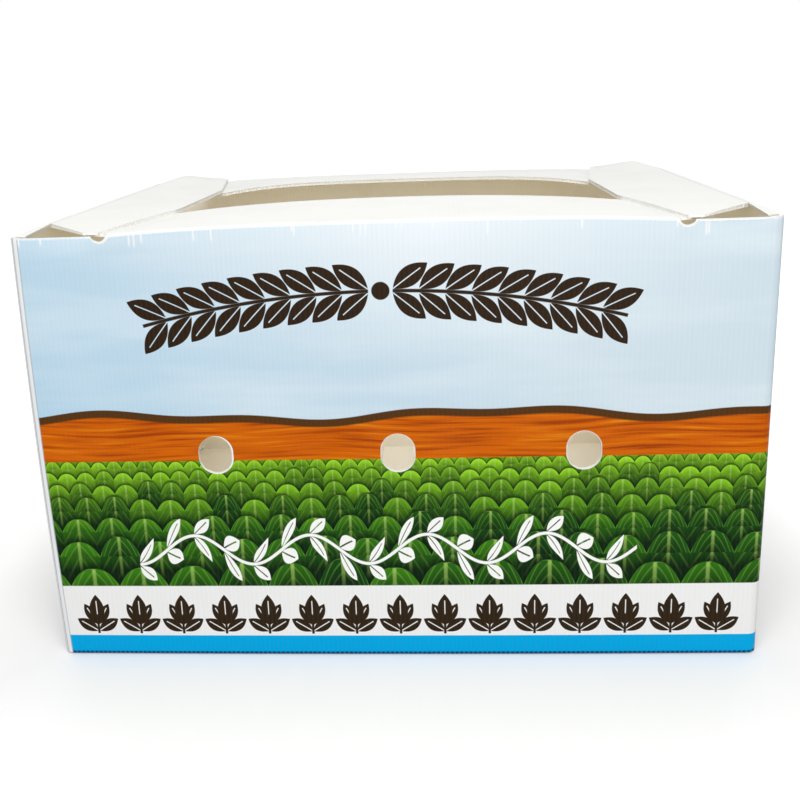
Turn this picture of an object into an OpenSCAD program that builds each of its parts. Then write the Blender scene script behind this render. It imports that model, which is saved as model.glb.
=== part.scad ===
// Produce box folded from one sheet of fluted plastic board
// Width runs along X, depth along Y, height along Z
// The front faces -Y and the outer bottom flaps stand on Z = 0

/* [Box] */
// Outside width across the front
box_w = 500; // [420:1:600]
// Outside depth from front to back
box_d = 430; // [380:1:520]
// Height to the top of the front and back creases
wall_h = 307; // [240:1:380]
// Thickness of the fluted board
board_t = 3; // [2:0.1:4]
// Inside radius of the upright corner folds
fold_r = 4.5; // [1:0.1:6]
// Outside radius of the creases along the top and bottom edges
crease_r = 2; // [1:0.1:3]

/* [Board section] */
// Distance between neighbouring flutes of the board
flute_pitch = 3.3; // [2.5:0.1:5]
// Thickness of each of the board's two skins
skin_t = 0.4; // [0.2:0.05:0.6]
// Thickness of the webs between the flutes
web_t = 0.4; // [0.2:0.05:0.6]
// Depth of the open flutes behind a cut edge
flute_depth = 8; // [4:0.5:15]

/* [Top flanges] */
// Reach of the front and back flanges over the opening
flange_reach = 130; // [95:1:150]
// Distance from a corner to the relief hole where a flange begins
flange_start = 61; // [45:1:80]
// Distance from the front over which a flange's ends are splayed, hidden under the end flaps
flange_splay = 80; // [60:1:90]
// Radius of the relief holes at the ends of the flange creases
relief_r = 5.5; // [3:0.1:6]
// Drop from a crease to the plain cut edge beside it
edge_drop = 1; // [0.5:0.1:3]

/* [End flaps] */
// Reach of the hinged end flaps over the flanges
flap_reach = 81; // [75:1:110]
// Distance from a corner to where an end flap begins
flap_start = 64; // [40:1:80]
// Distance from the front over which a flap's inner edge tapers
flap_taper = 140; // [100:1:170]
// Length of the square shoulder where a flap leaves its crease
flap_shoulder = 4; // [3:0.5:12]
// Width of the blunt tip at each end of a flap
flap_tip_w = 10; // [6:1:16]
// Groove left open along a hinged crease
crease_gap = 0.3; // [0.2:0.1:0.5]

/* [Vents] */
// Number of vent holes across the front and the back
vent_count = 3; // [1:1:3]
// Distance between neighbouring vent holes
vent_pitch = 125; // [60:1:150]
// Width of a vent hole
vent_w = 23; // [15:1:26]
// Height of a vent hole
vent_h = 27; // [27:1:40]
// Height of the vent holes' centres
vent_z = 154; // [60:1:200]

/* [Bottom and joint] */
// Gap where the two outer bottom flaps meet
bottom_seam = 1; // [0.5:0.1:3]
// Clearance of a folded-in edge from the wall beside it
edge_clear = 1; // [0.5:0.1:2]
// Width of the joining tab lapped inside the left end wall
tab_w = 35; // [20:1:60]
// Height cut off the tab's free corners
tab_slope = 12; // [6:1:20]

/* [Hidden] */
$fn = 64;

// Overrun of every cut past the faces that it passes through
overrun = 1;
half_w = box_w / 2;
half_d = box_d / 2;
corner_r = fold_r + board_t;
// The end flaps lie on the flanges, one board higher
top_z = wall_h + board_t;
edge_z = wall_h - edge_drop;
// Half width of the flange creases, between their relief holes
flange_half_w = half_w - flange_start;
// Half width of the flanges between the end walls
flange_side_x = half_w - board_t - edge_clear;
// Half length of the end flap creases
flap_half_l = half_d - flap_start;
// Half length of the end flaps from tip to tip, and of their straight inner edges
flap_tip_y = half_d - board_t - edge_clear;
flap_taper_y = half_d - flap_taper;
// Reach of an end flap's inner edge at its tips, which end beside the relief holes
flap_tip_reach = flange_start - edge_clear;
// Fall of an end flap's inner edge along its taper
flap_taper_slope = (flap_reach - flap_tip_reach) / (flap_tip_y - flap_taper_y);
// The bottom flaps all have one reach, so the outer pair meet in the middle
bottom_reach = half_d - bottom_seam / 2;
// The sheet's last fold lies one board inside the left end wall, which ends in a plain cut
joint_x = board_t + corner_r - half_w;
joint_y = half_d - corner_r;
// Half width of the long walls between the flutes that the upright folds crush
open_half_w = half_w - corner_r - board_t;
// Angle of the mitre through a hinged crease
mitre_angle = 45;

// Open flute at the origin, running back from a cut edge along -X, with Z through the board
module flute(length) {
    translate([-length, (web_t - flute_pitch) / 2, skin_t])
        cube([length + overrun, flute_pitch - web_t, board_t - 2 * skin_t]);
}

// Places along an edge, centred on zero, at which whole flutes are cut through
function flute_places(length) =
    let (count = floor((length - web_t) / flute_pitch))
    [for (i = [0 : count - 1]) (i - (count - 1) / 2) * flute_pitch];

// Draws its children on the left and mirrored on the right
module left_and_right() {
    children();
    mirror([1, 0, 0]) children();
}

// Draws its children at the front and mirrored at the back
module front_and_back() {
    children();
    mirror([0, 1, 0]) children();
}

// Runs a section along the front edge at height z
// The section's first axis points inward and its second up, or down from a top edge
module along_front(z, length, down = false) {
    translate([0, -half_d, z])
        rotate([down ? -90 : 90, 0, 90])
            linear_extrude(height = length, center = true)
                children();
}

// Runs a section along the left edge at height z, as along_front does
module along_left(z, length, down = false) {
    translate([-half_w, 0, z])
        rotate([down ? -90 : 90, 0, 0])
            linear_extrude(height = length, center = true)
                children();
}

// Rectangle with round corners, centred on the origin
module round_rect(w, d, r) {
    square([w - 2 * r, d], center = true);
    square([w, d - 2 * r], center = true);
    for (side_x = [-1, 1], side_y = [-1, 1])
        translate([side_x * (w / 2 - r), side_y * (d / 2 - r)])
            circle(r);
}

// Waste outside the round of a crease whose square corner is at the origin
module crease_waste() {
    difference() {
        translate([-overrun, -overrun])
            square(crease_r + overrun);
        translate([crease_r, crease_r])
            circle(crease_r);
    }
}

// Section of the four walls, from the left end wall's cut edge round to the last fold and its lap
module wall_section() {
    difference() {
        round_rect(box_w, box_d, corner_r);
        round_rect(box_w - 2 * board_t, box_d - 2 * board_t, fold_r);
        translate([-half_w - overrun, joint_y])
            square([joint_x + half_w + overrun, corner_r + overrun]);
    }
    translate([board_t - half_w, joint_y - board_t])
        square(board_t);
    translate([joint_x, joint_y])
        intersection() {
            difference() {
                circle(corner_r);
                circle(fold_r);
            }
            translate([-corner_r, 0])
                square(corner_r);
        }
}

// Four walls with round upright folds, up to the plain cut edges
module wall_ring() {
    translate([0, 0, board_t])
        linear_extrude(height = edge_z - board_t)
            wall_section();
}

// Outline of the front flange seen from above, splayed from its crease to the end walls
module flange_outline() {
    polygon([
        [-flange_half_w, 0],
        [flange_half_w, 0],
        [flange_side_x, flange_splay],
        [flange_side_x, flange_reach],
        [-flange_side_x, flange_reach],
        [-flange_side_x, flange_splay]
    ]);
}

// Front wall's top crease and the flange that it folds into
module front_flange() {
    along_front(wall_h, 2 * flange_half_w, down = true)
        square([board_t, edge_drop]);
    translate([0, -half_d, wall_h - board_t])
        linear_extrude(height = board_t)
            flange_outline();
}

// Flutes open along the inner edge of the front flange
module flange_flutes() {
    for (x = flute_places(2 * flange_side_x))
        translate([x, flange_reach - half_d, wall_h - board_t])
            rotate([0, 0, 90])
                flute(flute_depth);
}

// Flutes open along the plain top edge of the front wall, from its relief hole to its left fold
module front_edge_flutes() {
    first_x = flange_half_w + relief_r;
    for (along = flute_places(open_half_w - first_x))
        translate([along - (open_half_w + first_x) / 2, -half_d, edge_z])
            rotate([0, -90, -90])
                flute(flute_depth);
}

// Flutes open along the plain top edge of the left end wall, from its front fold to its crease
module end_edge_flutes() {
    run = half_d - corner_r - flap_half_l;
    for (along = flute_places(run - board_t))
        translate([board_t - half_w, along - flap_half_l - run / 2, edge_z])
            rotate([0, -90, 0])
                flute(flute_depth);
}

// Round hole that ends the flange crease, half in the wall and half in the flange
module relief_hole() {
    translate([-flange_half_w, board_t - half_d, edge_z])
        rotate([90, 0, 0])
            cylinder(r = relief_r, h = board_t + overrun);
    translate([-flange_half_w, edge_drop - half_d, wall_h - board_t - overrun])
        cylinder(r = relief_r, h = board_t + 2 * overrun);
}

// Outer bottom flap folded in from the front wall
module outer_bottom_flap() {
    along_front(0, box_w - 2 * corner_r)
        square([bottom_reach, board_t]);
}

// Inner bottom flap folded in from the left end wall, on top of the outer pair
module inner_bottom_flap() {
    along_left(board_t, box_d - 2 * board_t - 2 * edge_clear)
        square([bottom_reach, board_t]);
}

// Half of the section on one side of the mitre through a hinged crease
// The wall keeps what is below the mitre and the flap what is above it
module mitre_half(reach, wall_side) {
    groove = crease_gap * sin(mitre_angle);
    far = reach + overrun;
    if (wall_side)
        polygon([[-overrun, groove - overrun], [far - groove, far], [-overrun, far]]);
    else
        polygon([[groove - overrun, -overrun], [far, -overrun], [far, far - groove]]);
}

// Wall side of the hinged crease along the top of the left end wall, above the plain edges beside it
module end_wall_top() {
    along_left(top_z, 2 * flap_half_l, down = true)
        intersection() {
            square([board_t, top_z - edge_z]);
            mitre_half(top_z - edge_z, wall_side = true);
        }
}

// Joining tab of the back wall, lapped inside the left end wall
module joining_tab() {
    low_z = 2 * board_t + edge_clear;
    high_z = wall_h - board_t - edge_clear;
    translate([board_t - half_w, 0, 0])
        rotate([90, 0, 90])
            linear_extrude(height = board_t)
                polygon([
                    [joint_y, low_z],
                    [joint_y, high_z],
                    [joint_y - tab_w, high_z - tab_slope],
                    [joint_y - tab_w, low_z + tab_slope]
                ]);
}

// Row of upright oval holes through the front and back walls
module vents() {
    for (i = [0 : vent_count - 1])
        translate([(i - (vent_count - 1) / 2) * vent_pitch, 0, vent_z])
            rotate([90, 0, 0])
                linear_extrude(height = box_d + 2 * overrun, center = true) {
                    square([vent_w, vent_h - vent_w], center = true);
                    for (end = [-1, 1])
                        translate([0, end * (vent_h - vent_w) / 2])
                            circle(vent_w / 2);
                }
}

// The folded sheet: walls, bottom flaps, front and back flanges and joining tab
module box_body() {
    color("whitesmoke")
        difference() {
            union() {
                wall_ring();
                front_and_back() {
                    front_flange();
                    outer_bottom_flap();
                }
                left_and_right() {
                    inner_bottom_flap();
                    end_wall_top();
                }
                joining_tab();
            }
            front_and_back() {
                along_front(wall_h, 2 * flange_half_w, down = true) crease_waste();
                along_front(0, box_w) crease_waste();
                flange_flutes();
            }
            left_and_right() {
                along_left(top_z, 2 * flap_half_l, down = true) crease_waste();
                along_left(board_t, box_d - 2 * corner_r) crease_waste();
                front_and_back() {
                    relief_hole();
                    front_edge_flutes();
                    end_edge_flutes();
                }
            }
            vents();
        }
}

// Outline of the left end flap seen from above, from its crease to its inner edge
module flap_outline() {
    tip_start = flap_tip_reach - flap_tip_w;
    shoulder_y = flap_half_l - crease_gap;
    polygon([
        [0, -shoulder_y],
        [flap_shoulder, -shoulder_y],
        [tip_start, -flap_tip_y],
        [flap_tip_reach, -flap_tip_y],
        [flap_reach, -flap_taper_y],
        [flap_reach, flap_taper_y],
        [flap_tip_reach, flap_tip_y],
        [tip_start, flap_tip_y],
        [flap_shoulder, shoulder_y],
        [0, shoulder_y]
    ]);
}

// Reach of an end flap's inner edge at the distance y from its middle
function flap_edge(y) = flap_reach - flap_taper_slope * max(0, abs(y) - flap_taper_y);

// Flutes open along the inner edge of the left end flap
module flap_flutes() {
    for (y = flute_places(2 * flap_tip_y))
        translate([flap_edge(y) - half_w, y, wall_h])
            flute(flute_depth);
}

// One end flap lying closed on the flanges, hinged along the top of the left end wall
module end_flap() {
    difference() {
        intersection() {
            along_left(top_z, box_d, down = true)
                difference() {
                    intersection() {
                        square([flap_reach, board_t]);
                        mitre_half(flap_reach, wall_side = false);
                    }
                    crease_waste();
                }
            translate([-half_w, 0, wall_h - overrun])
                linear_extrude(height = board_t + 2 * overrun)
                    flap_outline();
        }
        flap_flutes();
    }
}

module left_end_flap() {
    color("white") end_flap();
}

module right_end_flap() {
    color("white") mirror([1, 0, 0]) end_flap();
}

box_body();
left_end_flap();
right_end_flap();
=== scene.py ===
import math
from collections import namedtuple

import bmesh
import bpy
from mathutils import Color, Matrix, Vector, noise
from mathutils.geometry import delaunay_2d_cdt


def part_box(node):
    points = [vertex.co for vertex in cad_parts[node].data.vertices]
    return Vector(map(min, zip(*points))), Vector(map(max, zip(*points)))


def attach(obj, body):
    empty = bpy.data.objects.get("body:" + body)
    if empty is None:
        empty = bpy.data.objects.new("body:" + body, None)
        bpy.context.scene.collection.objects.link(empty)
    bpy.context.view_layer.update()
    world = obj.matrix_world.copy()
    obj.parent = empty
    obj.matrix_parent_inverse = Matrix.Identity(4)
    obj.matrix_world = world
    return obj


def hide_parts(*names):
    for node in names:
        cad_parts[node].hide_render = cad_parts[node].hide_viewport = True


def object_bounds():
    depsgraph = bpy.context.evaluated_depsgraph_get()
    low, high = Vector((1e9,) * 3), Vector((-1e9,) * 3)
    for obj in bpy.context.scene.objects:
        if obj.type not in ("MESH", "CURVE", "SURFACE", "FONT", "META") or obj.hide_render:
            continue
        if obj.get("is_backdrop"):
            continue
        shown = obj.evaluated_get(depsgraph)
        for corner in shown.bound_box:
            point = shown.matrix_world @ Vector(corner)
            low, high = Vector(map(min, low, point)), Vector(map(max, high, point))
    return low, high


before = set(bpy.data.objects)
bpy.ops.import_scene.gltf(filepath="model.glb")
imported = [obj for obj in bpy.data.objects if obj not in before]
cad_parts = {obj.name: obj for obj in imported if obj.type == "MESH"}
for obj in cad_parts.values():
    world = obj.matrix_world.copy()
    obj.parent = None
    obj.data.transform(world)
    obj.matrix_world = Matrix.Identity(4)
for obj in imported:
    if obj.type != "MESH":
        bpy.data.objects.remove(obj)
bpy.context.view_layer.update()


# The box body
# One sheet of fluted polypropylene board, die-cut, creased and folded into four walls, a bottom, two
# top flanges, narrow lips at the ends and a lapped joining tab. The long walls are printed.
MM = 0.001
_, body_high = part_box("box_body")
flap_low, flap_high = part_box("left_end_flap")
half_w, half_d = body_high.x, body_high.y
wall_h, top_z = flap_low.z, flap_high.z
board_t = top_z - wall_h
skin_t, web_t = 0.4 * MM, 0.4 * MM
flute_pitch, flute_depth = 3.3 * MM, 1.5 * MM
crease_r, corner_r = 2 * MM, 7.5 * MM
crease_run, corner_run = crease_r * math.pi / 2, corner_r * math.pi / 2
edge_drop, edge_clear = 0.3 * MM, 1 * MM
edge_z = wall_h - edge_drop
tab_w, tab_slope = 35 * MM, 12 * MM
# Lines of the flat sheet stay a hair apart where they must not meet, and nearer points are joined
hair, weld = 0.05 * MM, 0.02 * MM

long_walls, end_walls = ("front", "back"), ("left", "right")
wall_runs = [
    ("left", 2 * half_d - 2 * corner_r),
    ("fold", corner_run),
    ("front", 2 * half_w - 2 * corner_r),
    ("fold", corner_run),
    ("right", 2 * half_d - 2 * corner_r),
    ("fold", corner_run),
    ("back", 2 * half_w - 2 * corner_r - board_t - hair),
    ("fold", corner_run),
    ("tab", tab_w),
]
# Heights at which a wall's bottom and top creases begin. A fold and the tab have theirs out of reach
long_creases = (crease_r, wall_h - crease_r)
end_creases = (board_t + crease_r, top_z - crease_r)
creases = {"front": long_creases, "back": long_creases, "left": end_creases, "right": end_creases}
no_creases = (-1, 1)


def ahead(heading):
    return Vector((math.cos(heading), math.sin(heading)))


def leftward(heading):
    return Vector((-math.sin(heading), math.cos(heading)))


wall_starts, wall_span = [], {}
spot, heading, run = Vector((-half_w, half_d - corner_r)), -math.pi / 2, 0
for wall, length in wall_runs:
    wall_starts.append((run, wall, spot, heading))
    wall_span[wall] = (run, run + length)
    if wall == "fold":
        centre = spot + leftward(heading) * corner_r
        heading += math.pi / 2
        spot = centre - leftward(heading) * corner_r
    else:
        spot = spot + ahead(heading) * length
    run += length

# The board has settled by a few millimetres: the flanges bow up between the end flaps and sag at their
# free edges, and their creases arch up between the relief holes, with the tops of the walls below
flange_reach, flange_start = 130 * MM, 61 * MM
flap_reach, flap_start = flap_high.x + half_w, 64 * MM
flange_half, flap_half = half_w - flange_start, half_d - flap_start
bow_half = abs(flap_high.x)
flange_bow, bow_power = {"front": 4.1 * MM, "back": 6.6 * MM}, {"front": 2, "back": 4}
flange_sag, wall_bulge = 2.2 * MM, 1.5 * MM
crease_lift, lift_h, arch_power = {"front": 4.6 * MM, "back": 2.2 * MM}, 90 * MM, 3
pinch, pinch_w, pinch_reach = 1.8 * MM, 12 * MM, 20 * MM
# The tops of the end walls tilt, and turn in as narrow lips between a flap's shoulder and the corner
end_tilt, lip_gap = 1.3 * MM, 2 * MM
lip_corner, lip_shoulder, lip_slant, lip_crush = 9 * MM, 6 * MM, 3.2 * MM, 2.3 * MM
lip_end = half_d - corner_r - lip_gap
# The walls are a little uneven, and the left end leans and bellies out by so many millimetres
dent_depth, dent_size = 0.7 * MM, 90 * MM
foot_in, lean_out, belly_out = 0.9, 1.8, 7.2

# Where a stretch of wall stands: its foot on the outer skin, the way it faces, its two creases, and
# the function that says how far its upper half has risen
Stand = namedtuple("Stand", "foot outward low high wall rise")


def held(share):
    """A share kept between 0 and 1."""
    return max(0, min(1, share))


def near_top(stand, up):
    """How much a height on a wall takes part in a lift of the wall's top."""
    return held(1 - (stand.high - up) / lift_h) ** 2


def no_rise(stand, place, up, depth, reach):
    return 0


def flange_rise(stand, place, up, depth, reach):
    """The bow and sag of a flange, and the arch of its crease, which the die pinches thin at both ends."""
    bow = flange_bow[stand.wall] * (1 - min(1, abs(place.x) / bow_half) ** bow_power[stand.wall])
    arch = max(0, 1 - abs(place.x / flange_half) ** arch_power)
    rise = (bow - flange_sag) * reach / flange_reach + crease_lift[stand.wall] * arch * near_top(stand, up)
    if up > stand.high + crease_run / 2:
        at_end = max(0, 1 - (flange_half - abs(place.x)) / pinch_w)
        rise += pinch * min(1, at_end * max(0, 1 - reach / pinch_reach)) * depth / board_t
    return rise


def tilt_at(y):
    """The tops of the end walls rise a little towards the rear, and come back to level at the corners."""
    past = abs(y) - flap_half
    if past < 0:
        return end_tilt * y / flap_half
    return end_tilt * math.copysign(1 - min(1, past / (half_d - corner_r - flap_half)), y)


def end_rise(stand, place, up, depth, reach):
    """The tilt of an end wall's top. Its lips slope down to the corners' cut edges and are pressed thin."""
    past = held((abs(place.y) - flap_half) / (lip_end - flap_half))
    bent = held((up - edge_z) / (stand.high + crease_run - edge_z))
    crush = lip_crush * min(1, reach / lip_shoulder) * depth / board_t
    return tilt_at(place.y) * near_top(stand, up) - (top_z - edge_z) * past * bent + crush


rises = {"front": flange_rise, "back": flange_rise, "left": end_rise, "right": end_rise}


def around_box(along, up):
    """Where the sheet stands at the distance along it from the left wall's rear edge."""
    index = max(i for i, start in enumerate(wall_starts) if start[0] <= along + weld)
    if wall_starts[index][1] == "fold" and up > edge_z + hair:
        # Above the cut edges there is only a flange, which reaches a little past its own wall
        index += 1 if wall_starts[index + 1][1] in long_walls else -1
    start, wall, spot, heading = wall_starts[index]
    if wall == "fold":
        turned = heading + (along - start) / corner_r
        foot = spot + leftward(heading) * corner_r - leftward(turned) * corner_r
        return Stand(foot, -leftward(turned), *no_creases, wall, no_rise)
    foot = spot + ahead(heading) * (along - start)
    return Stand(foot, -leftward(heading), *creases.get(wall, no_creases), wall, rises.get(wall, no_rise))


def over_crease(past):
    """Outer and inner skin, as (inward, beyond), at the distance past the start of a crease."""
    inner_beyond = crease_r - board_t
    if past <= 0:
        return (0, past), (board_t, min(past, inner_beyond))
    if past < crease_run:
        angle = past / crease_r
        return (crease_r * (1 - math.cos(angle)), crease_r * math.sin(angle)), (board_t, inner_beyond)
    inward = crease_r + past - crease_run
    return (inward, crease_r), (max(inward, board_t), inner_beyond)


def between(a, b, share):
    """The point that lies that share of the way from a to b."""
    return tuple(p + (q - p) * share for p, q in zip(a, b))


def belly(share):
    """How far the left end stands inwards at a share of the wall's height, in millimetres."""
    return foot_in - lean_out * share - belly_out * share * (1 - share)


def folded(stand, up, depth):
    """The sheet's point at the height up along its outer skin, and at a depth below that skin."""
    side, start = (1, stand.high) if up > (stand.low + stand.high) / 2 else (-1, stand.low)
    outer, inner = over_crease((up - start) * side)
    inward, beyond = between(outer, inner, depth / board_t)
    place = stand.foot - stand.outward * inward
    reach = max(0, inward - crease_r)
    if stand.wall in long_walls:
        # A long wall swells a little in plan
        swell = wall_bulge * (1 - (place.x / (half_w - corner_r)) ** 2)
        place = place + stand.outward * swell * max(0, 1 - reach / flange_reach)
    spot = Vector((*place, start + side * beyond))
    if side > 0:
        spot.z += stand.rise(stand, place, up, depth, reach)
    if stand.wall in creases and stand.low < up < stand.high:
        # A standing wall is a little uneven between its folds
        across, half = (place.y, half_d) if stand.wall in end_walls else (place.x, half_w)
        calm = max(0, 1 - (across / (half - corner_r)) ** 2)
        calm *= math.sin(math.pi * (up - stand.low) / (stand.high - stand.low))
        dent = dent_depth * calm * noise.noise(Vector((*stand.foot, up)) / dent_size)
        spot += Vector((*stand.outward, 0)) * dent
    # The left end bellies out
    spot.x += belly(held(spot.z / wall_h)) * MM * max(0, -spot.x / half_w)
    return spot


def inside(point, loop):
    """True if the flat point lies inside the closed loop."""
    x, y = point
    crossed = False
    for (x0, y0), (x1, y1) in zip(loop, loop[1:] + loop[:1]):
        if (y0 > y) != (y1 > y) and x < x0 + (x1 - x0) * (y - y0) / (y1 - y0):
            crossed = not crossed
    return crossed


def on_sheet(point, outline, holes):
    """True if the flat point lies inside the outline and in none of the holes."""
    return inside(point, outline) and not any(inside(point, hole) for hole in holes)


def arc(centre, radius, first, last, steps):
    """Points of a circle from the first to the last angle, in degrees."""
    turns = [math.radians(first + (last - first) * i / steps) for i in range(steps + 1)]
    return [(centre[0] + radius * math.cos(a), centre[1] + radius * math.sin(a)) for a in turns]


def stepped(a, b, step):
    """Points from a up to b, b left out, about a step apart."""
    count = max(1, round(math.dist(a, b) / step))
    return [between(a, b, i / count) for i in range(count)]


mesh_step, sharp_edge = 12 * MM, math.radians(38)


def sheet_lines(cuts, holes, crease_lines):
    """The flat sheet's points and lines, its outline, and the share by which a line opens the flutes."""
    points, opened = [], {}
    for (*a, opens), (*b, _) in zip(cuts, cuts[1:] + cuts[:1]):
        step = flute_pitch * math.dist(a, b) / max(abs(b[0] - a[0]), weld) if opens else mesh_step
        new = stepped(a, b, step)
        if opens:
            opened.update({i: opens for i in range(len(points), len(points) + len(new))})
        points += new
    outline = list(points)
    lines = [(i, (i + 1) % len(outline)) for i in range(len(outline))]
    for hole in holes:
        first = len(points)
        points += hole
        lines += [(first + i, first + (i + 1) % len(hole)) for i in range(len(hole))]
    for a, b in crease_lines:
        first = len(points)
        points += stepped(a, b, mesh_step) + [b]
        lines += [(i, i + 1) for i in range(first, len(points) - 1)]
    return points, lines, outline, opened


def filling(points, outline, holes):
    """A grid of points over the flat sheet, clear of the points that are there already."""
    cells = {}
    for p in points:
        cells.setdefault((p[0] // mesh_step, p[1] // mesh_step), []).append(p)
    low = [min(p[axis] for p in outline) for axis in (0, 1)]
    high = [max(p[axis] for p in outline) for axis in (0, 1)]
    counts = [int((high[axis] - low[axis]) / mesh_step) for axis in (0, 1)]
    grid = []
    for i in range(1, counts[0] + 1):
        for j in range(1, counts[1] + 1):
            p = (low[0] + i * mesh_step, low[1] + j * mesh_step)
            column, row = p[0] // mesh_step, p[1] // mesh_step
            near = [(column + di, row + dj) for di in (-1, 0, 1) for dj in (-1, 0, 1)]
            clear = all(math.dist(p, q) > mesh_step / 2 for cell in near for q in cells.get(cell, []))
            if clear and on_sheet(p, outline, holes):
                grid.append(p)
    return grid


def cut_sheet(name, cuts, holes, crease_lines, stand_at, finish_of, finishes):
    """A closed mesh of the board, cut to a flat outline, folded and given its thickness.
    A cut is (along, up, opens): the side that starts there opens the flutes, by a share, or doesn't.
    finish_of gives a flat spot's place among the finishes, on the side outside, inside or edge."""
    points, lines, outline, opened = sheet_lines(cuts, holes, crease_lines)
    points += filling(points, outline, holes)
    corners = [Vector(p) for p in points]
    flat, edges, faces, _, sources, _ = delaunay_2d_cdt(corners, lines, [], 1, weld / 10)
    centres = [sum((flat[i] for i in face), Vector((0, 0))) / 3 for face in faces]
    kept = [(face, centre) for face, centre in zip(faces, centres) if on_sheet(centre, outline, holes)]
    open_edges = {}
    for edge, source in zip(edges, sources):
        open_edges.update({frozenset(edge): opened[i] for i in source if i in opened})

    bm = bmesh.new()
    outer = [bm.verts.new(folded(stand_at(*p), p.y, 0)) for p in flat]
    inner = [bm.verts.new(folded(stand_at(*p), p.y, board_t)) for p in flat]

    def add_face(verts, finish):
        bm.faces.new(verts).material_index = finish

    sides = {}
    for face, centre in kept:
        add_face([outer[i] for i in face], finish_of(centre, "outside"))
        add_face([inner[i] for i in reversed(face)], finish_of(centre, "inside"))
        sides.update({(a, b): centre for a, b in zip(face, face[1:] + face[:1])})
    for (a, b), centre in sides.items():
        if (b, a) in sides:
            continue
        finish = finish_of(centre, "edge")
        rim = [outer[a], outer[b], inner[b], inner[a]]
        opens = open_edges.get(frozenset((a, b)))
        if not opens:
            add_face(rim[::-1], finish)
            continue
        # The mouth of a flute, between two webs and two skins
        back = math.copysign(flute_depth * opens, flat[a].y - centre.y)
        web_share = web_t / 2 / math.dist(flat[a], flat[b])
        near, far, shallow, deep = web_share, 1 - web_share, skin_t, board_t - skin_t
        mouth, end = [], []
        for share, depth in ((near, shallow), (far, shallow), (far, deep), (near, deep)):
            along, up = between(flat[a], flat[b], share)
            mouth.append(bm.verts.new(folded(stand_at(along, up), up, depth)))
            end.append(bm.verts.new(folded(stand_at(along, up), up - back, depth)))
        for k in range(4):
            n = (k + 1) % 4
            add_face([rim[n], rim[k], mouth[k], mouth[n]], finish)
            add_face([mouth[n], mouth[k], end[k], end[n]], finish)
        add_face(end[::-1], finish)
    bmesh.ops.remove_doubles(bm, verts=bm.verts, dist=weld)
    bmesh.ops.dissolve_degenerate(bm, edges=bm.edges, dist=weld)
    mesh = bpy.data.meshes.new(name)
    bm.to_mesh(mesh)
    bm.free()
    mesh.shade_smooth()
    mesh.set_sharp_from_angle(angle=sharp_edge)
    for finish in finishes:
        mesh.materials.append(finish)
    sheet = bpy.data.objects.new(name, mesh)
    bpy.context.scene.collection.objects.link(sheet)
    return sheet


def along_end(wall, y):
    """Distance along the sheet of the place y on an end wall."""
    return half_d - corner_r + (-y if wall == "left" else wall_span["right"][0] + y)


bottom_seam, fold_foot, bend_steps = 1 * MM, 0.9 * MM, 6
bottom_reach = half_d - bottom_seam / 2
inner_flap_half = half_d - corner_r - edge_clear
wall_middle = {wall: wall_span[wall][0] + half_w - corner_r for wall in long_walls}
wall_middle.update({wall: along_end(wall, 0) for wall in end_walls})


def bottom_span(wall):
    """Where the bottom flap below a wall starts and ends along the sheet."""
    if wall in long_walls:
        return wall_span[wall][0] + hair, wall_span[wall][1] - hair
    return wall_middle[wall] - inner_flap_half, wall_middle[wall] + inner_flap_half


def bottom_cuts(wall):
    """The bottom flap below a wall, cut from left to right, and the open corners beside it."""
    low = creases[wall][0]
    end = low - crease_run + crease_r - bottom_reach
    left, right = bottom_span(wall)
    if wall in long_walls:
        return [(left, fold_foot, False), (left, end, False), (right, end, False), (right, fold_foot, False)]
    wall_left, wall_right = left - edge_clear + hair, right + edge_clear
    return [
        (wall_left, fold_foot, False), (wall_left, low, False), (left, low, False), (left, end, True),
        (right, end, False), (right, low, False), (wall_right, low, False), (wall_right, fold_foot, False),
    ]


flange_splay, relief_r, relief_steps = 80 * MM, 5.5 * MM, 20
flange_side = half_w - board_t - edge_clear


def flange_cuts(wall):
    """The top of a long wall, cut from right to left: relief hole, splayed flange, relief hole."""
    face_up = wall_h - 2 * crease_r + crease_run
    relief_up = edge_z + crease_run / 2
    splay = math.degrees(math.atan2(flange_splay, flange_side - flange_half))
    lip = math.degrees(math.asin((relief_up - edge_z) / relief_r))
    relief = arc((flange_half, relief_up), relief_r, -lip, splay - 360, relief_steps)
    right = relief + [(flange_side, face_up + flange_splay), (flange_side, face_up + flange_reach)]
    left = [(-x, up) for x, up in reversed(right)]
    opens_from = {right[-3], right[-1], left[1]}
    return [(wall_middle[wall] + x, up, (x, up) in opens_from) for x, up in right + left]


flap_shoulder = 4 * MM


def end_cuts(wall):
    """The top of an end wall, cut from right to left: narrow lips, with the hinged crease between."""
    hinge_up = top_z - crease_r + crease_run / 2 - 2 * hair
    face_up = top_z - 2 * crease_r + crease_run
    turn = -1 if wall == "left" else 1
    right = [
        (half_d - corner_r, edge_z, False),
        (lip_end, face_up + lip_corner, True),
        (flap_half + lip_slant, face_up + lip_shoulder, False),
        (flap_half, face_up + flap_shoulder, False),
        (flap_half, hinge_up, False),
    ]
    left_opens = (False, False, True, False, True)
    left = [(-y, up, opens) for (y, up, _), opens in zip(reversed(right), left_opens)]
    return [(along_end(wall, turn * y), up, opens) for y, up, opens in right + left]


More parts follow.
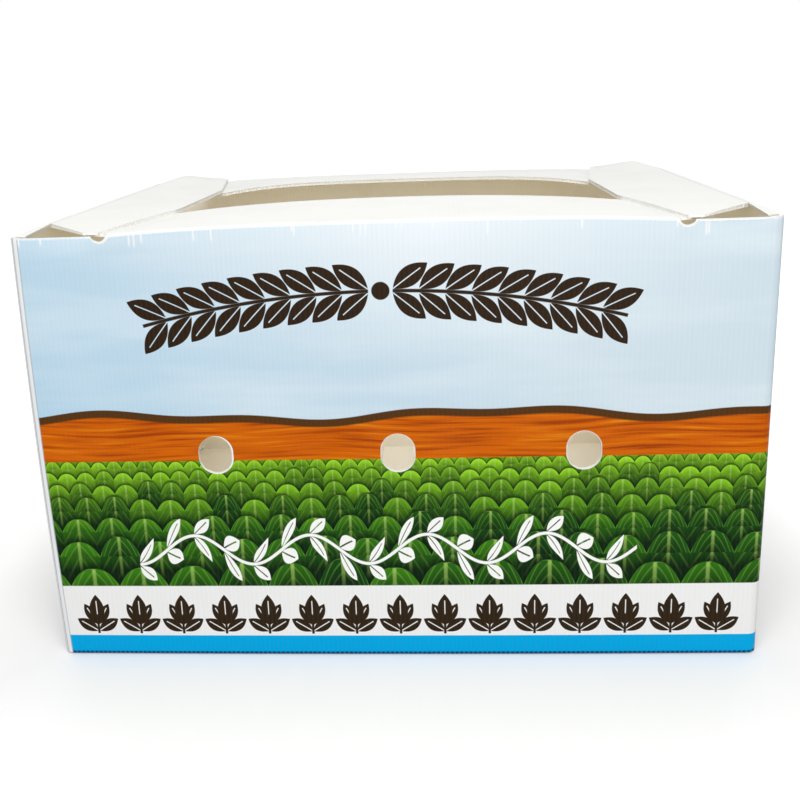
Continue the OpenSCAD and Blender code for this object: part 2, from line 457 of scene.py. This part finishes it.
tab_low, tab_high = 2 * board_t + edge_clear, wall_h - board_t - edge_clear
tab_from, tab_to = wall_span["tab"]
back_to = wall_span["back"][1]
body_cuts = [(0, board_t, False)]
for wall in ("left", "front", "right", "back"):
    body_cuts += bottom_cuts(wall)
    if wall != "back":
        bends = [wall_span[wall][1] + corner_run * k / bend_steps for k in range(1, bend_steps)]
        body_cuts += [(bend, fold_foot, False) for bend in bends]
body_cuts += [(back_to, fold_foot, False), (tab_from, tab_low, False), (tab_to, tab_low + tab_slope, False)]
body_cuts += [(tab_to, tab_high - tab_slope, False), (tab_from, tab_high, False), (back_to, edge_z, True)]
body_cuts += flange_cuts("back") + [(wall_span["back"][0], edge_z, True)]
body_cuts += end_cuts("right") + [(wall_span["front"][1], edge_z, True)]
body_cuts += flange_cuts("front") + [(wall_span["front"][0], edge_z, True)]
body_cuts += end_cuts("left")[:-1] + [(0, edge_z, False)]

vent_w, vent_h, vent_z, vent_pitch, vent_shift = 23 * MM, 27 * MM, 154 * MM, 125 * MM, 2 * MM
vent_rise, vent_steps = (vent_h - vent_w) / 2, 18
vents = []
for wall in long_walls:
    for i in (-1, 0, 1):
        x = wall_middle[wall] + vent_shift + i * vent_pitch
        top = arc((x, vent_z + vent_rise), vent_w / 2, 0, 180, vent_steps)
        vents.append(top + arc((x, vent_z - vent_rise), vent_w / 2, 180, 360, vent_steps))

body_creases = []
for k in range(bend_steps + 1):
    bend = crease_run * k / bend_steps
    for wall, (low, high) in creases.items():
        middle = wall_middle[wall]
        left, right = bottom_span(wall)
        body_creases.append(((left + hair, low - bend), (right - hair, low - bend)))
        half = (flange_half - relief_r if wall in long_walls else flap_half) - hair
        if wall in long_walls or 2 * k < bend_steps:
            body_creases.append(((middle - half, high + bend), (middle + half, high + bend)))
        if wall in end_walls:
            for near, far in ((-lip_end, -flap_half - hair), (flap_half + hair, lip_end)):
                body_creases.append(((middle + near, high + bend), (middle + far, high + bend)))
    for start, wall, _, _ in wall_starts:
        if wall == "fold":
            along = start + corner_run * k / bend_steps
            low = fold_foot if start < back_to - weld and 0 < k < bend_steps else tab_low
            body_creases.append(((along, low + hair), (along, tab_high - hair)))


class Wire:
    """A value in a shader tree. Sums with it place the nodes that work them out."""

    def __init__(self, socket):
        self.socket = socket
        self.tree = socket.id_data

    def math(self, operation, *others, clamp=False):
        node = self.tree.nodes.new("ShaderNodeMath")
        node.operation, node.use_clamp = operation, clamp
        for socket, value in zip(node.inputs, (self, *others)):
            feed(socket, value)
        return Wire(node.outputs[0])

    def __add__(self, other):
        return self.math("ADD", other)

    def __sub__(self, other):
        return self.math("SUBTRACT", other)

    def __rsub__(self, other):
        return self.math("MULTIPLY", -1) + other

    def __mul__(self, other):
        return self.math("MULTIPLY", other)

    def __truediv__(self, other):
        return self.math("DIVIDE", other)

    def __pow__(self, other):
        return self.math("POWER", other)

    def __abs__(self):
        return self.math("ABSOLUTE")

    __radd__, __rmul__ = __add__, __mul__

    def or_more(self, other):
        """The larger of two values."""
        return self.math("MAXIMUM", other)

    def held(self):
        """The value kept between 0 and 1."""
        return self.math("MULTIPLY", 1, clamp=True)

    def beyond(self, edge, soft):
        """A mask that goes from 0 to 1 as the value passes the edge."""
        return ((self - edge) / soft + 0.5).held()


def feed(socket, value):
    """Joins a wire to a socket, or sets the socket to a plain value."""
    if isinstance(value, Wire):
        socket.id_data.links.new(value.socket, socket)
    else:
        socket.default_value = value


def placed(tree, kind, inputs, **settings):
    """A new shader node with its settings and inputs."""
    node = tree.nodes.new("ShaderNode" + kind)
    for setting, value in settings.items():
        setattr(node, setting, value)
    for socket, value in inputs.items():
        feed(node.inputs[socket], value)
    return node


def ink(red, green, blue):
    """A colour from its tones on the 0 to 255 scale."""
    return (*Color((red / 255, green / 255, blue / 255)).from_srgb_to_scene_linear(), 1)


def laid_over(under, over, mask):
    """The colour over laid on the colour under, where the mask lets it."""
    node = placed(mask.tree, "Mix", {"Factor": mask}, data_type="RGBA")
    feed(node.inputs[6], under)
    feed(node.inputs[7], over)
    return Wire(node.outputs[2])


def cloudy(x, z, grain, seed, detail=2):
    """Soft noise over a plane, from 0 to 1. grain is its size along x and along z."""
    place = placed(x.tree, "CombineXYZ", {"X": x / grain[0], "Y": z / grain[1], "Z": seed})
    noisy = placed(x.tree, "TexNoise", {"Vector": Wire(place.outputs[0]), "Scale": 1, "Detail": detail})
    return Wire(noisy.outputs["Fac"])


def chance(a, b, seed):
    """A number from 0 to 1 that belongs to a cell of a pattern."""
    place = placed(a.tree, "CombineXYZ", {"X": a, "Y": b, "Z": seed})
    return Wire(placed(a.tree, "TexWhiteNoise", {"Vector": Wire(place.outputs[0])}).outputs["Value"])


def new_group(name, inputs, outputs):
    """An empty node group of plain values: its inputs as wires and its outputs as sockets to feed."""
    tree = bpy.data.node_groups.new(name, "ShaderNodeTree")
    for socket in inputs:
        tree.interface.new_socket(socket, in_out="INPUT", socket_type="NodeSocketFloat")
    for socket in outputs:
        tree.interface.new_socket(socket, in_out="OUTPUT", socket_type="NodeSocketFloat")
    entry, leave = tree.nodes.new("NodeGroupInput"), tree.nodes.new("NodeGroupOutput")
    return [Wire(entry.outputs[socket]) for socket in inputs], leave.inputs


def grouped(name, **inputs):
    """The outputs of a node group placed in the tree of its first input."""
    tree = next(value.tree for value in inputs.values() if isinstance(value, Wire))
    node = placed(tree, "Group", {}, node_tree=bpy.data.node_groups[name])
    for socket, value in inputs.items():
        feed(node.inputs[socket.capitalize()], value)
    wires = [Wire(socket) for socket in node.outputs]
    return wires[0] if len(wires) == 1 else wires


# Skins sink a little between the webs. In the finishes, distances are in millimetres
(across, along), out = new_group("flute_lines", ["Across", "Along"], ["Height", "Shade"])
pitch_mm = flute_pitch / MM
wobble = cloudy(across, along, (40, 160), 3) - 0.5
ridge = ((across + wobble * 0.5) * (2 * math.pi / pitch_mm)).math("COSINE")
strength = cloudy(across, along, (25, 90), 7).beyond(0.45, 0.5) * 0.6 + 0.4
feed(out["Height"], ridge * strength)
feed(out["Shade"], (ridge * 0.5 + 0.5) * strength)

# Rubbing along a fold wears the ink off its rim, and a few webs show as pale streaks below it
(fold_gap, across), out = new_group("fold_rub", ["Gap", "Across"], ["Mask"])
rim_w, rare, streak_min, streak_gain = 2.4, 0.93, 4, 90
column = across / (pitch_mm / 2)
index = column.math("FLOOR")
luck = chance(index, index, 11)
streak = (luck - rare).or_more(0) * streak_gain + luck.beyond(rare, 0.01) * streak_min
middle = 1 - abs(column - index - 0.5) * 2
streaks = (streak - fold_gap).beyond(0, 3) * middle ** 0.4 * streak.beyond(1, 1)
rim = (cloudy(across, fold_gap, (1.6, 20), 11) * rim_w - fold_gap).beyond(0, 1.6)
feed(out["Mask"], rim.or_more(streaks) * 0.9)

# A pointed leaf that starts at zero and lies along its own axis
leaf_inputs = ["Along", "Across", "Length", "Width"]
(along, across, length, width), out = new_group("leaf", leaf_inputs, ["Mask", "Rib"])
rib_half, rib_share = 0.35, 0.8
spare = 1 - (along * 2 / length - 1) ** 2 - abs(across * 2 / width)
feed(out["Mask"], (spare * width).beyond(0, 0.6))
feed(out["Rib"], (rib_half - abs(across)).beyond(0, 0.3) * (length * rib_share - along).beyond(0, 0.4))


def leaf_at(x, z, base_x, base_z, turn, length, width):
    """A leaf from its base point, turned up from the x axis by so many degrees."""
    dx, dz = x - base_x, z - base_z
    c, s = math.cos(math.radians(turn)), math.sin(math.radians(turn))
    return grouped("leaf", along=dx * c + dz * s, across=dz * c - dx * s, length=length, width=width)


def garland(along, off, pitch, count, turn, length, width, stem):
    """A stem with so many pairs of leaves, as a mask. off is the distance from the stem."""
    index = (along / pitch).math("FLOOR")
    stretch = along.beyond(0, 0.5) * (count * pitch - along).beyond(0, 0.5)
    mask = (stem / 2 - abs(off)).beyond(0, 0.5) * stretch
    for behind in (0, 1):
        leaf, rib = leaf_at(along - (index - behind) * pitch, abs(off), 0, stem / 2, turn, length, width)
        there = (index - behind).beyond(-0.5, 0.1) * (count - 0.5 - index + behind).beyond(0, 0.1)
        mask = mask.or_more(leaf * (1 - rib) * there)
    return mask


def new_finish(name, gloss):
    """An empty material: its shader's sockets and the object's own places as wires, in millimetres."""
    finish = bpy.data.materials.new(name)
    finish.use_nodes = True
    tree = finish.node_tree
    shader = tree.nodes["Principled BSDF"]
    shader.inputs["Specular IOR Level"].default_value = gloss
    spot = tree.nodes.new("ShaderNodeTexCoord").outputs["Object"]
    parts = placed(tree, "SeparateXYZ", {"Vector": Wire(spot)})
    return finish, shader.inputs, [Wire(parts.outputs[axis]) / MM for axis in "XYZ"]


def raised(height, amount):
    """The surface normal over a height that varies between -1 and 1, amount in millimetres."""
    node = placed(height.tree, "Bump", {"Height": height, "Distance": amount * MM, "Strength": 1.0})
    return Wire(node.outputs["Normal"])


def bare_board(name, flutes_along, warm_shade_tint, shade_line_x=None):
    """Unprinted white board whose flutes lie side by side along X or along Y. Inside faces get a warmer,
    brighter tint as painted shade, so that light thrown between the inner walls takes the warm shade of the
    box's inside.
    A painted shade line at shade_line_x stands for the groove a creasing tool presses there."""
    finish, sockets, (x, y, z) = new_finish(name, 0.2)
    across, along = (x, y + z) if flutes_along == "X" else (y, x + z)
    height, shade = grouped("flute_lines", across=across, along=along)
    smudge = cloudy(across, along, (60, 60), 21, detail=4)
    pale, worn = ink(246, 246, 243), ink(234, 234, 229)
    # Painted warm shade: inside faces get a warmer, brighter tint that stands for the warm shade within the
    # box
    if warm_shade_tint:
        pale, worn = ink(253, 250, 242), ink(250, 246, 235)
    tint = laid_over(pale, worn, smudge.beyond(0.62, 0.5) * 0.5)
    tint = laid_over(tint, ink(216, 212, 198), shade * 0.08)
    # Painted shade: a faint grey line along the groove that a creasing tool presses
    if shade_line_x:
        tint = laid_over(tint, ink(190, 190, 186), (0.45 - abs(abs(x) - shade_line_x)).beyond(0, 0.5) * 0.5)
    feed(sockets["Base Color"], tint)
    feed(sockets["Roughness"], smudge * 0.16 + 0.34)
    feed(sockets["Normal"], raised(height + smudge * 2, 0.03))
    return finish


# Heights of the upper edges of the printed fields, and of the painted shade along the foot
foot_shade_top, stripe_top, band_top, leaves_top, earth_top, ridge_top = 2.7, 15.5, 55, 150, 177.5, 183


def printed_sky(x, z, clouds):
    """Sky, paler to the right and in a glow at the top, with long thin clouds."""
    glow_x, glow_half, glow_z, glow_h = 20, 210, 215, 85
    sky = laid_over(ink(182, 214, 234), ink(207, 223, 232), (x + z * 0.9).beyond(120, 420))
    glow = (1 - abs(x - glow_x) / glow_half).or_more(0) * ((z - glow_z) / glow_h).held()
    sky = laid_over(sky, ink(240, 246, 249), glow * 0.85)
    return laid_over(sky, ink(228, 239, 245), clouds.beyond(0.58, 0.3) * 0.5)


def printed_earth(x, z, sky):
    """Earth with rolling furrows and a dark ridge, under the sky."""
    swell = (x / 41).math("SINE") * 3 + (x / 17 + 1).math("SINE") * 1.6
    furrow = cloudy(x, z + swell * 0.5, (70, 2.6), 37, detail=3)
    earth = laid_over(ink(208, 98, 0), ink(158, 62, 0), furrow.beyond(0.58, 0.2))
    earth = laid_over(earth, ink(222, 134, 14), furrow.beyond(0.36, -0.16))
    ridge = laid_over(sky, ink(82, 50, 16), (ridge_top + swell - z).beyond(0, 0.5))
    return laid_over(ridge, earth, (earth_top + swell - z).beyond(0, 1.2))


row_count, growth, far_leaf_w, far_row = 7, 4, 9, 152


def leaf_row(x, row):
    """Place across its leaf, and the leaf's own number, of a spot in a row of leaves."""
    width = (row * math.log(growth) / row_count).math("EXPONENT") * far_leaf_w
    cell = x / width + row * 0.37
    index = cell.math("FLOOR")
    return cell - index - 0.5, chance(index, row, 5)


def printed_leaves(x, z):
    """Leaves in staggered rows that grow towards the foot, each row in front of the one above it."""
    grown = (far_row - z).or_more(0) / (far_row - band_top)
    rows = (grown * (growth - 1) + 1).math("LOGARITHM", growth) * row_count
    row = rows.math("FLOOR")
    down = rows - row
    across, number = leaf_row(x, row)
    front_across, front_number = leaf_row(x, row + 1)
    tip = 1 - (1 - abs(front_across * 2) ** 2.4) * (front_number * 0.35 + 0.55)
    in_front = (down - tip).beyond(0, 0.05)
    shadow = (1 - (tip - down) / 0.28).held() * (1 - in_front)
    depth = (down * 0.6 + 0.42) * (1 - in_front) + (down - tip) * 0.9 * in_front
    place = across * (1 - in_front) + front_across * in_front
    leaf_number = number * (1 - in_front) + front_number * in_front
    leaves = laid_over(ink(166, 236, 40), ink(62, 132, 20), grown.math("MULTIPLY", 1.8, clamp=True))
    leaves = laid_over(leaves, ink(8, 66, 14), leaf_number * (grown * 2 + 0.4).math("MINIMUM", 0.95))
    dark = (depth * (grown * 0.6 + 0.75)).math("MULTIPLY", 1.1, clamp=True)
    leaves = laid_over(leaves, ink(4, 32, 4), dark)
    veins = ((depth * 6 - abs(place) * 8) * math.pi).math("SINE").beyond(0.75, 0.4)
    leaves = laid_over(leaves, ink(150, 200, 80), veins * (0.9 - depth) * 0.3)
    midrib = (0.035 - abs(place)).beyond(0, 0.03)
    leaves = laid_over(leaves, ink(176, 212, 110), midrib * (0.9 - depth) * 0.7)
    return laid_over(leaves, ink(2, 22, 4), shadow * 0.85)


def printed_vine(x, z):
    """A vine that waves over the leaves, as a mask."""
    wave, swing, vine_z, vine_from = 82, 11, 83, -184.5
    turn = x * (2 * math.pi / wave)
    slope = turn.math("COSINE") * (swing * 2 * math.pi / wave)
    off = (z - (turn.math("SINE") * swing + vine_z)) / (slope * slope + 1) ** 0.5
    return garland(x - vine_from, off, pitch=20.5, count=17, turn=48, length=17, width=7.5, stem=2.2)


def printed_laurel(x, z):
    """A laurel arch in the sky, from a middle berry to both sides, as a mask."""
    arch_r, arch_x, arch_top, berry_r, berry_gap = 640, -6, 266, 6, 8
    dx, dz = x - arch_x, z - (arch_top - arch_r)
    off = (dx * dx + dz * dz) ** 0.5 - arch_r
    along = abs(dx.math("ARCTAN2", dz)) * arch_r
    twigs = garland(along - berry_gap, off, pitch=17, count=9, turn=38, length=28, width=13, stem=2.4)
    return twigs.or_more((berry_r - (along * along + off * off) ** 0.5).beyond(0, 0.5))


def printed_sprigs(x, z):
    """A row of upright sprigs along the pale band, as a mask."""
    cell_w, a_side, stem_half, stem_foot, stem_top = 31.5, 7, 0.9, 17, 30
    index = (x / cell_w + 0.5).math("FLOOR")
    cell = x - index * cell_w
    stem = (z - stem_foot).beyond(0, 0.4) * (stem_top - z).beyond(0, 0.4)
    sprig = (stem_half - abs(cell)).beyond(0, 0.4) * stem
    for turn, length, width, base in ((90, 25, 11, 23), (33, 18, 9, 19), (62, 19, 8, 24)):
        leaf, rib = leaf_at(abs(cell), z, 0, base, turn, length, width)
        sprig = sprig.or_more(leaf * (1 - rib))
    return sprig * (a_side + 0.5 - abs(index)).beyond(0, 0.1)


def hole_rings(x, z):
    """Rings round the vents and the relief holes, where the die lifts the ink, as a mask."""
    vent_ring, relief_ring, ring_limit = 0.3, 1.2, 200
    pitch, shifted = vent_pitch / MM, x - vent_shift / MM
    vent_x = shifted - (shifted / pitch + 0.5).math("FLOOR") * pitch
    vent_up = (abs(z - vent_z / MM) - vent_rise / MM).or_more(0)
    ring = (vent_w / 2 / MM + vent_ring - (vent_x * vent_x + vent_up * vent_up) ** 0.5).beyond(0, 0.5)
    relief_x, relief_up = abs(x) - flange_half / MM, z - (edge_z + crease_run / 2) / MM
    relief_gap = (relief_x * relief_x + relief_up * relief_up) ** 0.5
    ring = ring.or_more((relief_r / MM + relief_ring - relief_gap).beyond(0, 0.6))
    return ring * (ring_limit - abs(x)).beyond(0, 1)


def printed_board():
    """The long walls' print, from the sky down to a blue stripe, with bare board along every fold, and
    painted shade along the foot and beside the left fold.
    """
    finish, sockets, (x, _, z) = new_finish("printed_board", 0.05)
    height, shade = grouped("flute_lines", across=x, along=z)
    clouds = cloudy(x, z, (150, 26), 31, detail=3)
    colour = printed_earth(x, z, printed_sky(x, z, clouds))
    colour = laid_over(colour, printed_leaves(x, z), (leaves_top - z).beyond(0, 0.6))
    colour = laid_over(colour, ink(250, 250, 247), printed_vine(x, z))
    colour = laid_over(colour, ink(44, 28, 10), printed_laurel(x, z))
    colour = laid_over(colour, ink(241, 241, 240), (band_top - z).beyond(0, 0.5))
    colour = laid_over(colour, ink(46, 32, 14), printed_sprigs(x, z))
    colour = laid_over(colour, ink(0, 168, 228), (stripe_top - z).beyond(0, 0.4))
    # Painted shade along the foot where the box meets the floor, broken into dashes where the crushed flutes
    # show through the bottom crease
    dashes = ((x * (2 * math.pi / pitch_mm)).math("COSINE") + 0.3).beyond(0, 0.5)
    colour = laid_over(colour, ink(6, 52, 104), (foot_shade_top - z).beyond(0, 0.8) * (dashes * 0.45 + 0.5))

    # The crease that the rubbing follows is arched, and the print's left edge is straight on the bellied end
    arch = (1 - abs(x / (flange_half / MM)) ** arch_power).or_more(0)
    rub = grouped("fold_rub", gap=edge_z / MM - z + arch * (crease_lift["front"] / MM), across=x)
    fold_x, left_x = (half_w - corner_r) / MM, x - belly(z / (wall_h / MM))
    left_bare, right_bare = fold_x + 0.8, half_w / MM - 0.6
    bare = rub.or_more((-left_bare - left_x).beyond(0, 0.5)).or_more((x - right_bare).beyond(0, 0.4))
    colour = laid_over(colour, ink(244, 246, 247), bare.or_more(hole_rings(x, z)))
    # Two grey lines beside the print's left edge are painted shade of the corner fold's bends
    for shade_line_x in (fold_x + 0.9, fold_x + 4.5):
        colour = laid_over(colour, ink(150, 156, 160), (0.4 - abs(left_x + shade_line_x)).beyond(0, 0.5) * 0.6)
    feed(sockets["Base Color"], laid_over(colour, ink(110, 120, 130), shade * 0.035))
    feed(sockets["Roughness"], rub * 0.15 + clouds * 0.1 + 0.32)
    feed(sockets["Normal"], raised(height, 0.025))
    return finish


body_finishes = [
    printed_board(),
    bare_board("white_board_long", "X", False),
    bare_board("white_board_end", "Y", False),
    # The inner boards carry the painted warm tint of the shade inside the box
    bare_board("inner_board_long", "X", True),
    bare_board("inner_board_end", "Y", True),
    bare_board("cut_edge", "X", False),
]
print_overlap = 9 * MM


def body_finish(centre, side):
    """Which of the body's finishes a flat spot of the sheet has."""
    if side == "edge":
        return 5
    wall = [start[1] for start in wall_starts if start[0] <= centre.x + weld][-1]
    of_end = wall in ("left", "right", "tab") and edge_z > centre.y
    if side == "inside":
        return 4 if of_end else 3
    past = [centre.x - wall_span[name][0] + corner_run for name in long_walls]
    length = wall_span["front"][1] - wall_span["front"][0] + corner_run + print_overlap
    if any(0 < run < length for run in past) and -crease_r / 2 < centre.y < wall_h - crease_r / 2:
        return 0
    return 2 if of_end else 1


box_sheet = cut_sheet("box_sheet", body_cuts, vents, body_creases, around_box, body_finish, body_finishes)
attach(box_sheet, "box")
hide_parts("box_body")


# The end flaps
# The sheet's own top flaps at its two ends, of the same board, each hinged at the crease on its
# end wall. They lie on the flanges, with blunt tips and open flutes along the slanting inner edges.
flap_taper, flap_tip_w = 140 * MM, 10 * MM
crease_gap, slant_mouth = 0.3 * MM, 0.3
flap_sag, tip_crush = 1.2 * MM, 1.5 * MM
flap_curl, curl_from, curl_rise, curl_peak, curl_power = 6.5 * MM, 90 * MM, 75 * MM, 22 * MM, 3
score_gap = 6 * MM
flap_board = bare_board("flap_board", "Y", False, shade_line_x=(half_w - score_gap) / MM)
flap_finishes = [flap_board, bpy.data.materials["inner_board_end"], bpy.data.materials["cut_edge"]]


def flap_rise(stand, place, up, depth, reach):
    """A flap sags with the flanges under it. Its rear shoulder curls up and its tips are pressed thin."""
    lean = min(1, (half_d - abs(place.y)) / flange_reach)
    rear = held((place.y - curl_from) / curl_rise)
    curl = (reach / curl_peak * math.exp(1 - reach / curl_peak)) ** curl_power * rear * rear * (3 - 2 * rear)
    tip = max(0, (abs(place.y) - flap_half) / (flap_high.y - flap_half))
    rise = flap_curl * curl - flap_sag * lean * reach / flap_reach - tip_crush * tip * (1 - depth / board_t)
    return rise + tilt_at(place.y) * max(0, 1 - reach / flap_reach)


def flap_finish(centre, side):
    """Which of a flap's finishes a flat spot of it has."""
    return {"outside": 0, "inside": 1, "edge": 2}[side]


hinge_up = top_z - crease_r + crease_run / 2 + 2 * hair
face_up = top_z - 2 * crease_r + crease_run
tip_up = face_up + flange_start - edge_clear
shoulder = flap_half - crease_gap
flap_right = [
    (shoulder, hinge_up, False),
    (shoulder, face_up + flap_shoulder, slant_mouth),
    (flap_high.y, tip_up - flap_tip_w, False),
    (flap_high.y, tip_up, slant_mouth),
    (half_d - flap_taper, face_up + flap_reach, slant_mouth),
]
left_opens = (slant_mouth, False, slant_mouth, False, False)
flap_cuts = flap_right + [(-y, up, opens) for (y, up, _), opens in zip(reversed(flap_right), left_opens)]
flap_creases = []
for k in range(bend_steps // 2 + 1, bend_steps + 1):
    up = top_z - crease_r + crease_run * k / bend_steps
    flap_creases.append(((hair - shoulder, up), (shoulder - hair, up)))

for wall, turn in (("left", -1), ("right", 1)):
    def beside_hinge(along, up):
        """Where the flap stands at the distance along its crease."""
        foot = Vector((turn * half_w, turn * along))
        return Stand(foot, Vector((turn, 0)), *end_creases, "flap", flap_rise)

    name = wall + "_flap_sheet"
    flap = cut_sheet(name, flap_cuts, [], flap_creases, beside_hinge, flap_finish, flap_finishes)
    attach(flap, wall + "_flap")
    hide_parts(wall + "_end_flap")


# The studio
# A plain white floor under soft light from a wide overhead lamp and a large lamp beside the
# camera, and the camera where the photograph was taken from.
scene = bpy.context.scene
floor_half = 6.0
floor_mesh = bpy.data.meshes.new("floor")
floor_corners = [(x * floor_half, y * floor_half, 0) for x, y in ((-1, -1), (1, -1), (1, 1), (-1, 1))]
floor_mesh.from_pydata(floor_corners, [], [(0, 1, 2, 3)])
floor = bpy.data.objects.new("floor", floor_mesh)
scene.collection.objects.link(floor)
floor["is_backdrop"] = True


def seen_directly(tree):
    """A mask of the rays by which the picture shows the background."""
    path = tree.nodes.new("ShaderNodeLightPath")
    kinds = ("Is Camera Ray", "Is Glossy Ray", "Is Transmission Ray")
    camera, glossy, through = (Wire(path.outputs[kind]) for kind in kinds)
    return camera.or_more(glossy).or_more(through)


# The floor glows for the camera as painted light: faintly by the walls, so that the box's shadow shows,
# more beside the box, and most far off. The camera sees it white, while it throws back little light
far_fill, side_fill, foot_fill = 0.5, 0.12, 0.05
floor_finish, floor_sockets, (x, y, _) = new_finish("floor_finish", 0.5)
away = (x * x + y * y) ** 0.5
clear = (abs(x) - half_w / MM).or_more(abs(y) - half_d / MM)
fill = y.beyond(350, 900).or_more(away.beyond(1100, 800)) * far_fill + clear.beyond(55, 100) * side_fill
seen = seen_directly(floor_finish.node_tree)
floor_sockets["Roughness"].default_value = 0.5
floor_sockets["Emission Color"].default_value = (1, 1, 1, 1)
feed(floor_sockets["Emission Strength"], seen * (fill + foot_fill))
feed(floor_sockets["Base Color"], laid_over((0.25, 0.25, 0.25, 1), (0.9, 0.9, 0.9, 1), seen))
floor_mesh.materials.append(floor_finish)

sky_light = 0.5
world = bpy.data.worlds.new("studio")
scene.world = world
world.use_nodes = True
backdrop = world.node_tree.nodes["Background"].inputs
backdrop["Color"].default_value = (1, 1, 1, 1)
feed(backdrop["Strength"], seen_directly(world.node_tree) * (1 - sky_light) + sky_light)

for name, spot, size, power in (
    ("overhead_lamp", (0.0, -0.7, 1.8), 0.5, 12),
    ("front_lamp", (0.3, -2.3, 0.7), 1.5, 26),
):
    lamp = bpy.data.lights.new(name, "AREA")
    lamp.size, lamp.energy = size, power
    lamp_object = bpy.data.objects.new(name, lamp)
    lamp_object.location = spot
    aim = Vector((0, 0, wall_h / 2)) - Vector(spot)
    lamp_object.rotation_euler = aim.to_track_quat("-Z", "Y").to_euler()
    scene.collection.objects.link(lamp_object)

scene.view_settings.view_transform = "Standard"
# Light is thrown to and fro many times between the pale inner walls
scene.cycles.max_bounces = scene.cycles.diffuse_bounces = 16
camera = bpy.data.cameras.new("camera")
photo_px, focal_px, shift_x_px, shift_y_px = 800, 992, 24, -37.1
camera.sensor_width = 36
camera.lens = camera.sensor_width * focal_px / photo_px
camera.shift_x, camera.shift_y = shift_x_px / photo_px, shift_y_px / photo_px
camera_object = bpy.data.objects.new("camera", camera)
scene.collection.objects.link(camera_object)
camera_at = Vector((33.9, -850, 388)) * MM
pitch, yaw, roll = math.radians(15.02), math.radians(4.02), math.radians(-2.19)
level = Matrix.Rotation(math.pi / 2 - pitch, 4, "X")
aim = Matrix.Rotation(yaw, 4, "Z") @ level @ Matrix.Rotation(roll, 4, "Z")
camera_object.matrix_world = Matrix.Translation(camera_at) @ aim
scene.camera = camera_object

low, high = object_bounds()
